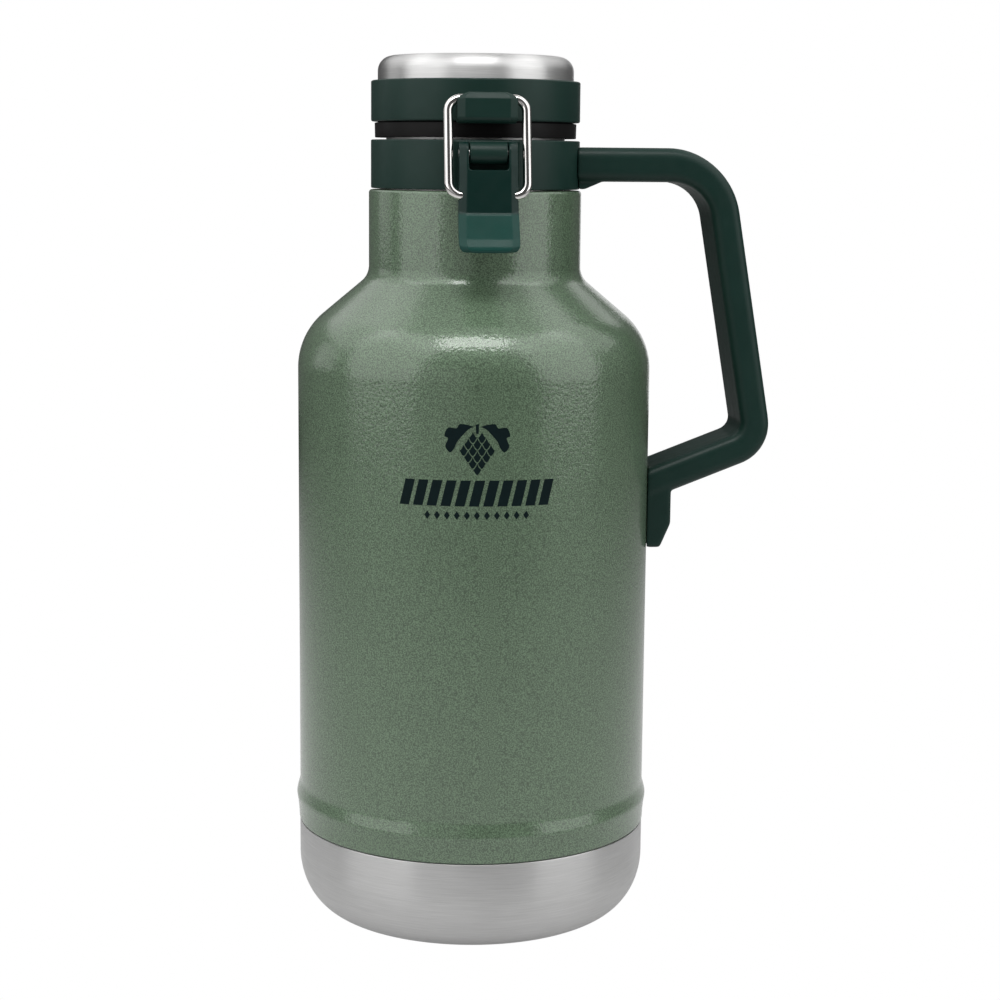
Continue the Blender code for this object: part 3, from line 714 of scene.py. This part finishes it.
def make_collar():
    """Plastic ring on the neck, with the latch's pad and knuckle and the lid hinge's ears."""
    edge = 0.45
    top, bottom = COLLAR_TOP_Z, COLLAR_BOTTOM_Z
    ring = arc((COLLAR_R - edge, top - edge), edge, 90, 0, 6)
    ring += arc((COLLAR_R - edge, bottom + edge), edge, 0, -90, 6)
    bore, groove = COLLAR_BORE_R, COLLAR_BORE_R + 1.1
    inside = [(bore + 0.2, bottom), (bore, bottom + 0.2), (bore, BEAD_Z - 2.2), (groove, BEAD_Z - 1.9),
              (groove, BEAD_Z + 1.9), (bore, BEAD_Z + 2.2), (bore, top - 0.4), (bore + 0.4, top)]
    collar = lathe(ring + inside, closed=True)

    web_u = COLLAR_BORE_R + 2.0
    pad = bevelled(box((-PAD_HALF, -PAD_U, bottom + 0.1), (PAD_HALF, -web_u, top - 0.1)), 0.7)
    knuckle = arc((LEVER_U, LEVER_Z), KNUCKLE_R, -90, 90, 24)
    knuckle += [(web_u, LEVER_Z + KNUCKLE_R - 0.2), (web_u, LEVER_Z - KNUCKLE_R)]
    knuckle = bevelled(plate(knuckle, 6.0, "uz"), 0.35, 3, 60)

    saddle = bevelled(box((-HINGE_HALF + 0.4, web_u, 254.0),
                          (HINGE_HALF - 0.4, HINGE_U + 3.4, HINGE_Z - 4.4)), 1.2, 4)
    ear = arc((-HINGE_U, HINGE_Z), EAR_R, 0, 180, 24)
    ear += [(-HINGE_U - EAR_R, 256.0), (-HINGE_U + EAR_R, 256.0)]
    ear_half = (HINGE_HALF - HINGE_SLOT_HALF) / 2
    ears = [bevelled(plate(ear, ear_half, "uz", side * (HINGE_HALF + HINGE_SLOT_HALF) / 2), 0.5, 3, 60)
            for side in (-1, 1)]
    bores = [rod((-20, -LEVER_U, LEVER_Z), (20, -LEVER_U, LEVER_Z), LATCH_PIN_R + 0.15),
             rod((-20, HINGE_U, HINGE_Z), (20, HINGE_U, HINGE_Z), HINGE_PIN_R + 0.15)]
    mesh = combined(collar, [pad, knuckle, saddle, *ears], bores)
    piece("collar_moulding", mesh, "flask", GREEN, ["neck_collar"])


def handle_spots():
    """Centre line of the handle: (x, z, thickness scale) from the collar round to the bottle."""
    arm_z, upper_x, lower_x, lower_z = 258.4, 81.4, 97.2, 164.7
    line = rounded([(30.0, arm_z, 0), (60.0, arm_z, 0), (upper_x, arm_z, 19.9),
                    (lower_x, lower_z, 9.5), (54.0, 148.0, 0)], steps=28)
    top = ARM_THICK / GRIP_THICK
    thins_from, thins_over = 64.0, 22.0
    thickens_from, thickens_over = 172.0, 8.0
    spots = []
    for x, z in line:
        if z > 245.0 and x < 95.0:
            share = max(0.0, min(1.0, (x - thins_from) / thins_over))
            scale = top + (1.0 - top) * share * share * (3 - 2 * share)
        else:
            scale = 1.0 + 0.05 * max(0.0, min(1.0, (thickens_from - z) / thickens_over))
        spots.append((x, z, scale))
    return spots


def handle_section():
    """The handle's section: slightly crowned faces and rounded corners."""
    half_t, half_w, r = GRIP_THICK / 2, HANDLE_WIDTH / 2, 2.9
    corners = [(half_t, half_w, r), (-half_t, half_w, r), (-half_t, -half_w, r), (half_t, -half_w, r)]
    points = []
    for t, w in rounded(corners, steps=8, closed=True):
        flat_t = t - (0.30 * (w / half_w) ** 2) * (1 if t > 0 else -1)
        flat_w = w - (0.14 * (t / half_t) ** 2) * (1 if w > 0 else -1)
        points.append((flat_t, flat_w))
    return points


def make_handle():
    """Moulded handle, seated on the collar and on the bottle.

    The seats are cut again after the moulding step, because that step softens them.
    """
    spots = handle_spots()
    section = handle_section()
    rings = []
    for i, (x, z, scale) in enumerate(spots):
        before, after = spots[max(0, i - 1)], spots[min(len(spots) - 1, i + 1)]
        run = Vector((after[0] - before[0], 0, after[1] - before[1])).normalized()
        side = Vector((run.z, 0, -run.x))
        rings.append([Vector((x, w, z)) + side * t * scale for t, w in section])
    sweep = loft(rings)
    foot = rounded([(FOOT_X, 154.0, 0), (FOOT_X, 136.5, 3.0), (63.6, FOOT_BOTTOM_Z, 1.2),
                    (56.0, FOOT_BOTTOM_Z, 0), (56.0, 154.0, 0)], steps=8, closed=True)
    foot = bevelled(plate(foot, HANDLE_WIDTH / 2 - 0.35, "xz"), 1.1, 5, 60)
    gusset = [(33.0, 258.0), (33.0, 250.1), (36.0, 250.2), (38.6, 251.3), (41.6, 252.6), (46.0, 255.0)]
    gusset = plate(gusset, HANDLE_WIDTH / 2 - 2.4, "xz")

    def seats():
        return [rod((0, 0, 100), (0, 0, 187), BODY_R + 0.15, segments=RING),
                rod((0, 0, 240), (0, 0, 275), COLLAR_R + 0.1, segments=RING)]
    rough = combined(sweep, [foot, gusset], seats())
    mesh = combined(moulded(rough, 0.5, 5), cuts=[
        *seats(),
        box((55.0, -6.6, 131.0), (61.9, 6.6, 149.0)),
        rod((60.0, 0, FOOT_SCREW_Z), (63.7, 0, FOOT_SCREW_Z), 3.5),
        rod((60.0, 0, FOOT_SCREW_Z), (75.0, 0, FOOT_SCREW_Z), 1.9),
        rod((65.6, 0, FOOT_SCREW_Z), (75.0, 0, FOOT_SCREW_Z), 3.4)])
    piece("handle_moulding", mesh, "flask", GREEN, ["handle"])


def make_cap_screw(name, node, head, seat, tip, head_r, shank_r, body):
    """A cap screw with a rounded head and a hexagon socket."""
    head, seat, tip = Vector(head), Vector(seat), Vector(tip)
    axis = (head - seat).normalized()
    deep = seat.lerp(head, 0.35)
    mesh = combined(pin(seat, head, head_r, 0.3), [pin(tip, seat.lerp(head, 0.3), shank_r, 0.2)],
                    [rod(deep, head + axis * 3, head_r * 0.5, segments=6)])
    piece(name, mesh, body, BARE_STEEL, [node])


def make_pins():
    """Pins of the lever and the lid, and the screw in the handle's foot."""
    mesh = pin((-9.5, -LEVER_U, LEVER_Z), (9.5, -LEVER_U, LEVER_Z), LATCH_PIN_R)
    piece("latch_pin_steel", mesh, "flask", BARE_STEEL, ["latch_pin"])
    mesh = pin((-10.9, HINGE_U, HINGE_Z), (10.9, HINGE_U, HINGE_Z), HINGE_PIN_R)
    piece("hinge_pin_steel", mesh, "flask", BARE_STEEL, ["hinge_pin"])
    make_cap_screw("handle_screw_steel", "handle_screw", (67.3, 0, FOOT_SCREW_Z),
                   (65.9, 0, FOOT_SCREW_Z), (61.0, 0, FOOT_SCREW_Z), 3.0, 1.5, "flask")


# ---- lid ------------------------------------------------------------------------------------

def make_lid_band():
    """Plastic band with an inner deck, the chamfered hook for the bail and the hinge's knuckle."""
    edge = 0.6
    profile = [(0.0, DECK_TOP_Z), (CAP_R + 0.2, DECK_TOP_Z), (CAP_R + 0.2, BAND_TOP_Z - 0.3),
               (CAP_R + 0.5, BAND_TOP_Z)]
    profile += arc((BAND_R - edge, BAND_TOP_Z - edge), edge, 90, 0, 6)
    profile += arc((BAND_R - edge, BAND_BOTTOM_Z + edge), edge, 0, -90, 6)
    profile += [(BAND_BORE_R, BAND_BOTTOM_Z), (BAND_BORE_R, DECK_BOTTOM_Z), (0.0, DECK_BOTTOM_Z)]
    band = lathe(profile)

    root_u = BAND_BORE_R + 0.8
    groove_z = BAR_Z - WIRE_R - GAP
    inner_u = CATCH_U - LIP_THICK
    # Height, front, width of the side chamfer, how far the back goes in and the sides draw in.
    stations = [(CATCH_BOTTOM_Z, CATCH_U - 1.9, 3.1, 1.3, 0.5), (271.7, CATCH_U - 0.9, 2.8, 0.7, 0.15),
                (272.3, CATCH_U - 0.35, 2.6, 0.0, 0.0), (273.1, CATCH_U, 2.5, 0.0, 0.0),
                (279.05, CATCH_U, 2.5, 0.0, 0.0), (280.3, CATCH_U - 0.7, 2.6, 0.0, 0.35),
                (CATCH_TOP_Z, CATCH_U - 1.2, 2.9, 0.0, 1.4)]
    sections = []
    depth = 1.5
    for z, front, side, back, less in stations:
        half = CATCH_HALF - less
        sections.append([(-half, -root_u - back, z), (half, -root_u - back, z),
                         (half, -front + depth, z), (half - side, -front, z),
                         (-half + side, -front, z), (-half, -front + depth, z)])
    hook = combined(loft(sections), cuts=[
        plate([(root_u - 3, groove_z), (inner_u - 0.5, groove_z), (inner_u, groove_z + 0.4),
               (inner_u, 290.0), (root_u - 3, 290.0)], 20.0, "uz")])
    hook = moulded(hook, 0.22, 3)

    web = arc((-HINGE_U, HINGE_Z), KNUCKLE_R, 90, 330, 36)
    web += [(-root_u, 272.2), (-root_u, 278.0)]
    web = bevelled(plate(web, HINGE_SLOT_HALF - GAP, "uz"), 0.4, 3, 60)
    holes = [rod((-20, HINGE_U, HINGE_Z), (20, HINGE_U, HINGE_Z), HINGE_PIN_R + 0.15)]
    holes += [rod((x, y, 270.0), (x, y, 290.0), 1.6) for x, y in lid_screw_places()]
    mesh = combined(band, [web, hook], holes)
    piece("lid_band_moulding", mesh, "lid", GREEN, ["lid_band"])


def lid_screw_places():
    """Where the three lid screws stand, as (x, y)."""
    angles = (radians(90 + 120 * i) for i in range(3))
    return [(LID_SCREW_R * cos(a), LID_SCREW_R * sin(a)) for a in angles]


def make_lid_cap():
    """Brushed steel cap pressed into the band, its top very slightly domed."""
    wall = 0.8
    skirt_z = DECK_TOP_Z + GAP
    rim_z = CAP_TOP_Z - 0.25
    centre = (CAP_R - CAP_CORNER, rim_z - CAP_CORNER)
    corner = arc(centre, CAP_CORNER, 90, 0, 20)
    dome = [(0.0, CAP_TOP_Z), (9.0, CAP_TOP_Z - 0.02), (18.0, CAP_TOP_Z - 0.10)]
    outer = dome + corner + [(CAP_R, skirt_z)]
    inner = [(CAP_R - wall, skirt_z)] + arc(centre, CAP_CORNER - wall, 0, 90, 10)
    mesh = lathe(outer + inner + [(0.0, rim_z - wall)])
    piece("lid_cap_steel", mesh, "lid", CAP_STEEL, ["lid_cap"])


def make_lid_liner():
    """Black liner: flange, skirt round the mouth and the insulated plug."""
    flange_top, flange_bottom = 276.4, 274.2
    skirt_in, out_r = 31.5, BAND_BORE_R - GAP - 0.1
    profile = [(0.0, PLUG_BOTTOM_Z + 2.0), (PLUG_R - 2.6, PLUG_BOTTOM_Z + 2.0),
               (PLUG_R - 2.2, flange_top), (out_r, flange_top), (out_r, BAND_BOTTOM_Z - 0.2),
               (LINER_R - 0.2, BAND_BOTTOM_Z - 0.4)]
    profile += arc((LINER_R - 0.2, BAND_BOTTOM_Z - 0.6), 0.2, 60, 0, 3)
    profile += arc((LINER_R - 0.3, LINER_BOTTOM_Z + 0.2), 0.2, 0, -90, 3)
    profile += [(skirt_in + 0.3, LINER_BOTTOM_Z), (skirt_in, LINER_BOTTOM_Z + 0.3),
                (skirt_in, flange_bottom), (PLUG_R + 0.2, flange_bottom)]
    profile += [(PLUG_R - 0.6, PLUG_BOTTOM_Z + 1.2)]
    profile += arc((PLUG_R - 1.9, PLUG_BOTTOM_Z + 1.3), 1.3, -5, -90, 6)
    profile += [(20.0, PLUG_BOTTOM_Z), (19.4, PLUG_BOTTOM_Z + 0.5), (9.0, PLUG_BOTTOM_Z + 0.5),
                (8.4, PLUG_BOTTOM_Z), (0.0, PLUG_BOTTOM_Z)]
    bosses = [rod((x, y, flange_top - 1.0), (x, y, DECK_BOTTOM_Z - GAP), 2.9)
              for x, y in lid_screw_places()]
    holes = [rod((x, y, 275.0), (x, y, 290.0), 1.6) for x, y in lid_screw_places()]
    mesh = combined(lathe(profile), bosses, holes)
    piece("lid_liner_moulding", mesh, "lid", BLACK, ["lid_liner"])


def make_gasket():
    """Soft seal ring with two rounded ribs that close on the mouth's rim."""
    bottom, top = MOUTH_TOP_Z + GAP, 274.2 - GAP
    profile = eased([(31.1, top), (31.1, bottom + 0.5), (30.6, bottom), (29.9, bottom + 0.5),
                     (29.2, bottom), (28.4, bottom + 0.1), (28.0, bottom + 0.6), (28.0, top)], 4)
    mesh = lathe(profile, closed=True)
    piece("lid_gasket_ring", mesh, "lid", RUBBER, ["lid_gasket"])


# ---- latch ----------------------------------------------------------------------------------

def make_lever():
    """Over-centre lever: two ears on the pin, chamfered sides and a flared finger tip."""
    turns = [radians(a) for a in range(84, -1, -12)]
    front = [(LEVER_U + KNUCKLE_R * cos(a), LEVER_Z + KNUCKLE_R * sin(a)) for a in turns]
    back = [(LEVER_U - KNUCKLE_R * cos(a * 0.9), LEVER_Z + KNUCKLE_R * sin(a)) for a in turns]
    front += [(46.55, 258.0), (46.9, 252.0), (47.4, 244.0), (47.45, 243.0), (48.0, 242.35),
              (50.5, 234.8), (51.7, 232.4), (51.95, 231.5), (51.8, 230.8), (51.2, LEVER_TIP_Z)]
    back += [(41.0, 257.4), (41.3, 252.0), (41.3, 246.5), (41.5, 245.4), (41.8, 244.6),
             (46.3, 236.2), (47.4, 233.6), (47.9, 232.3), (48.2, 231.5), (48.6, 230.9)]
    chamfers = [(2.4, 1.5)] * (len(front) - 4) + [(2.5, 1.6), (2.8, 1.8), (3.2, 2.2), (3.8, 2.6)]
    narrow = [0.0] * (len(front) - 4) + [0.05, 0.3, 0.8, 1.5]
    sections = []
    for (fu, fz), (bu, bz), (side, depth), less in zip(front, back, chamfers, narrow):
        half = LEVER_HALF - 0.15 + 0.35 * max(0.0, min(1.0, (248.0 - fz) / 12.0)) - less
        run = Vector((bu - fu, bz - fz))
        share = min(0.45, depth / max(run.length, 0.1))
        mu, mz = fu + run.x * share, fz + run.y * share
        side = min(side, half * 0.5)
        sections.append([(-half, -bu, bz), (half, -bu, bz), (half, -mu, mz),
                         (half - side, -fu, fz), (-half + side, -fu, fz), (-half, -mu, mz)])
    slot = rounded([(-LEVER_SLOT_HALF, 280.0, 0), (-LEVER_SLOT_HALF, 256.5, 0.9),
                    (LEVER_SLOT_HALF, 256.5, 0.9), (LEVER_SLOT_HALF, 280.0, 0)], steps=8)
    slot_tool = loft([[(x, y, z) for x, z in slot] for y in (-60.0, -30.0)])
    mesh = combined(loft(sections), cuts=[
        slot_tool,
        rod((-20, -LEVER_U, LEVER_Z), (20, -LEVER_U, LEVER_Z), LATCH_PIN_R + 0.15),
        rod((-20, -BAIL_U, BAIL_Z), (20, -BAIL_U, BAIL_Z), WIRE_R + 0.12)])
    piece("lever_moulding", moulded(mesh, 0.22, 3), "lever", LEVER_GREEN_PAINTED_LIGHT,
          ["latch_lever"])


def make_bail():
    """Bent polished wire: its ends sit in the lever, its top bar in the lid's hook."""
    rise = hypot(BAIL_U - BAR_U, BAR_Z - BAIL_Z)
    corners = [(1.0, 0, 0), (BAIL_HALF, 0, BAIL_CORNER), (BAIL_HALF, rise, BAIL_CORNER),
               (-BAIL_HALF, rise, BAIL_CORNER), (-BAIL_HALF, 0, BAIL_CORNER), (-1.0, 0, 0)]
    line = rounded(corners, steps=14)
    lean = Vector((0, BAIL_U - BAR_U, BAR_Z - BAIL_Z)).normalized()
    foot = Vector((0, -BAIL_U, BAIL_Z))
    out = Vector((1, 0, 0)).cross(lean)
    rings = []
    last = len(line) - 1
    for i, (x, rise_here) in enumerate(line):
        before, after = line[max(0, i - 1)], line[min(last, i + 1)]
        run = Vector((after[0] - before[0], after[1] - before[1])).normalized()
        side = Vector((1, 0, 0)) * run.y - lean * run.x
        centre = foot + Vector((x, 0, 0)) + lean * rise_here
        turns = (2 * pi * k / 28 for k in range(28))
        rings.append([centre + (side * cos(t) + out * sin(t)) * WIRE_R for t in turns])
    piece("bail_wire", loft(rings), "bail", WIRE, ["wire_bail"])


make_body()
make_vessel()
make_cup()
make_emblem()
make_collar()
make_handle()
make_pins()
make_lid_band()
make_lid_cap()
make_lid_liner()
make_gasket()
make_lever()
make_bail()

# Hidden nodes that stay as the CAD made them, with a material each.
KEPT = {"vacuum_base_plate": BARE_STEEL, "getter_cap": BARE_STEEL, "handle_bracket": BARE_STEEL,
        "lid_foam": FOAM}
KEPT.update({f"lid_screw_{i}": BARE_STEEL for i in (1, 2, 3)})
KEPT.update({f"collar_screw_{i}": BARE_STEEL for i in (1, 2)})
for node, look in KEPT.items():
    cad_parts[node].data.materials.clear()
    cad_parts[node].data.materials.append(look)


# ---- camera, floor and light ----------------------------------------------------------------

CAMERA_TURN = 5.5          # degrees that the camera stands to the left of the front
CAMERA_DISTANCE = 0.745    # metres, from the bottle's axis
CAMERA_HEIGHT = 0.2605     # metres, above the floor
CAMERA_FALL = 8.93         # degrees that it looks down
CAMERA_ASIDE = 0.717       # degrees that it looks to the right of the bottle
CAMERA_LEAN = 0.5          # degrees that it leans to one side
CAMERA_LENS = 78.48        # millimetres, on a sensor 36 wide
WATTS_PER_RADIANCE = pi
ROOM_GREY = 0.08           # what the surroundings give to reflections
FLOOR_HALF = 1.5
FLOOR_NEAR, FLOOR_FAR = 0.2, 1.2       # the floor's light falls off between these distances


def make_camera():
    """The camera, placed round the bottle's axis."""
    data = bpy.data.cameras.new("camera")
    data.lens = CAMERA_LENS
    data.sensor_width = 36.0
    data.clip_start, data.clip_end = 0.05, 50.0
    camera = bpy.data.objects.new("camera", data)
    bpy.context.scene.collection.objects.link(camera)
    a = radians(CAMERA_TURN)
    turn = (Matrix.Rotation(-a - radians(CAMERA_ASIDE), 4, "Z")
            @ Matrix.Rotation(radians(90 - CAMERA_FALL), 4, "X")
            @ Matrix.Rotation(radians(CAMERA_LEAN), 4, "Z"))
    place = Vector((-CAMERA_DISTANCE * sin(a), -CAMERA_DISTANCE * cos(a), CAMERA_HEIGHT))
    camera.matrix_world = Matrix.Translation(place) @ turn
    bpy.context.scene.camera = camera


def softbox(name, aside, rise, distance, width, height, radiance, target_z=0.16):
    """A rectangular soft light aimed at the bottle, aside degrees to the right of the camera.

    The distance and the sizes are in metres, and rise is in degrees above the floor.
    """
    a, e = radians(aside - CAMERA_TURN), radians(rise)
    back = Vector((sin(a) * cos(e), -cos(a) * cos(e), sin(e)))
    data = bpy.data.lights.new(name, "AREA")
    data.shape = "RECTANGLE"
    data.size, data.size_y = width, height
    data.energy = radiance * width * height * WATTS_PER_RADIANCE
    light = bpy.data.objects.new(name, data)
    bpy.context.scene.collection.objects.link(light)
    light.matrix_world = (Matrix.Translation(Vector((0, 0, target_z)) + back * distance)
                          @ back.to_track_quat("Z", "Y").to_matrix().to_4x4())
    light.visible_camera = False


def make_world():
    """A dim even room, with plain white paper where the camera looks past everything."""
    world = bpy.data.worlds.new("studio")
    bpy.context.scene.world = world
    world.use_nodes = True
    tree = world.node_tree
    tree.nodes.clear()
    out = tree.nodes.new("ShaderNodeOutputWorld")
    room = tree.nodes.new("ShaderNodeBackground")
    room.inputs["Color"].default_value = (ROOM_GREY, ROOM_GREY, ROOM_GREY, 1.0)
    paper = tree.nodes.new("ShaderNodeBackground")
    paper.inputs["Color"].default_value = (1.0, 1.0, 1.0, 1.0)
    path = tree.nodes.new("ShaderNodeLightPath")
    mix = tree.nodes.new("ShaderNodeMixShader")
    tree.links.new(path.outputs["Is Camera Ray"], mix.inputs["Fac"])
    tree.links.new(room.outputs["Background"], mix.inputs[1])
    tree.links.new(paper.outputs["Background"], mix.inputs[2])
    tree.links.new(mix.outputs["Shader"], out.inputs["Surface"])


def make_floor():
    """White paper to the camera; to the bottle, pale near it and darker further out."""
    shape = bmesh.new()
    half = FLOOR_HALF
    shape.faces.new([shape.verts.new((x, y, 0.0))
                     for x, y in ((-half, -half), (half, -half), (half, half), (-half, half))])
    mesh = bpy.data.meshes.new("floor")
    shape.to_mesh(mesh)
    shape.free()
    look = Look("pale_floor", (0.42, 0.42, 0.42), 0.9)
    look.set("Emission Color", (1.0, 1.0, 1.0, 1.0))
    reach = look.node("ShaderNodeVectorMath", operation="LENGTH")
    look.link(look.place, reach.inputs[0])
    shade = look.spread(reach.outputs["Value"], FLOOR_NEAR, FLOOR_FAR, 0.42, 0.04)
    look.link(shade, look.shader.inputs["Base Color"])
    glow = look.spread(reach.outputs["Value"], FLOOR_NEAR, FLOOR_FAR, 0.30, 0.0)
    look.link(glow, look.shader.inputs["Emission Strength"])
    look.set("Specular IOR Level", 0.0)
    paper = look.node("ShaderNodeEmission")
    paper.inputs["Strength"].default_value = 1.0
    path = look.node("ShaderNodeLightPath")
    mix = look.node("ShaderNodeMixShader")
    look.link(path.outputs["Is Camera Ray"], mix.inputs["Fac"])
    look.link(look.shader.outputs["BSDF"], mix.inputs[1])
    look.link(paper.outputs["Emission"], mix.inputs[2])
    look.link(mix.outputs["Shader"], look.tree.nodes["Material Output"].inputs["Surface"])
    mesh.materials.append(look.material)
    floor = bpy.data.objects.new("floor", mesh)
    bpy.context.scene.collection.objects.link(floor)


make_camera()
make_world()
make_floor()
# Name, aside, rise, distance, width, height, radiance and the height aimed at.
softbox("strip_above", 0, 59, 1.0, 0.62, 0.33, 6.6, 0.2)
softbox("sky", 0, 86, 1.3, 2.2, 2.2, 0.37, 0.2)
softbox("left_box", -62, 30, 1.1, 1.1, 1.5, 1.4)
softbox("right_box", 64, 30, 1.1, 0.95, 1.5, 1.5)
softbox("front_card", -25, 4, 1.5, 1.1, 0.9, 0.35)
softbox("right_rim", 168, 8, 1.6, 0.4, 1.2, 0.8)
softbox("left_wrap", -113, 8, 1.4, 0.6, 0.5, 0.7, 0.25)
softbox("left_high", -125, 44, 1.2, 1.2, 0.9, 0.9, 0.2)
softbox("right_high", 125, 44, 1.2, 1.2, 0.9, 0.85, 0.2)
bpy.context.scene.view_settings.view_transform = "Standard"
bpy.context.scene.view_settings.look = "None"
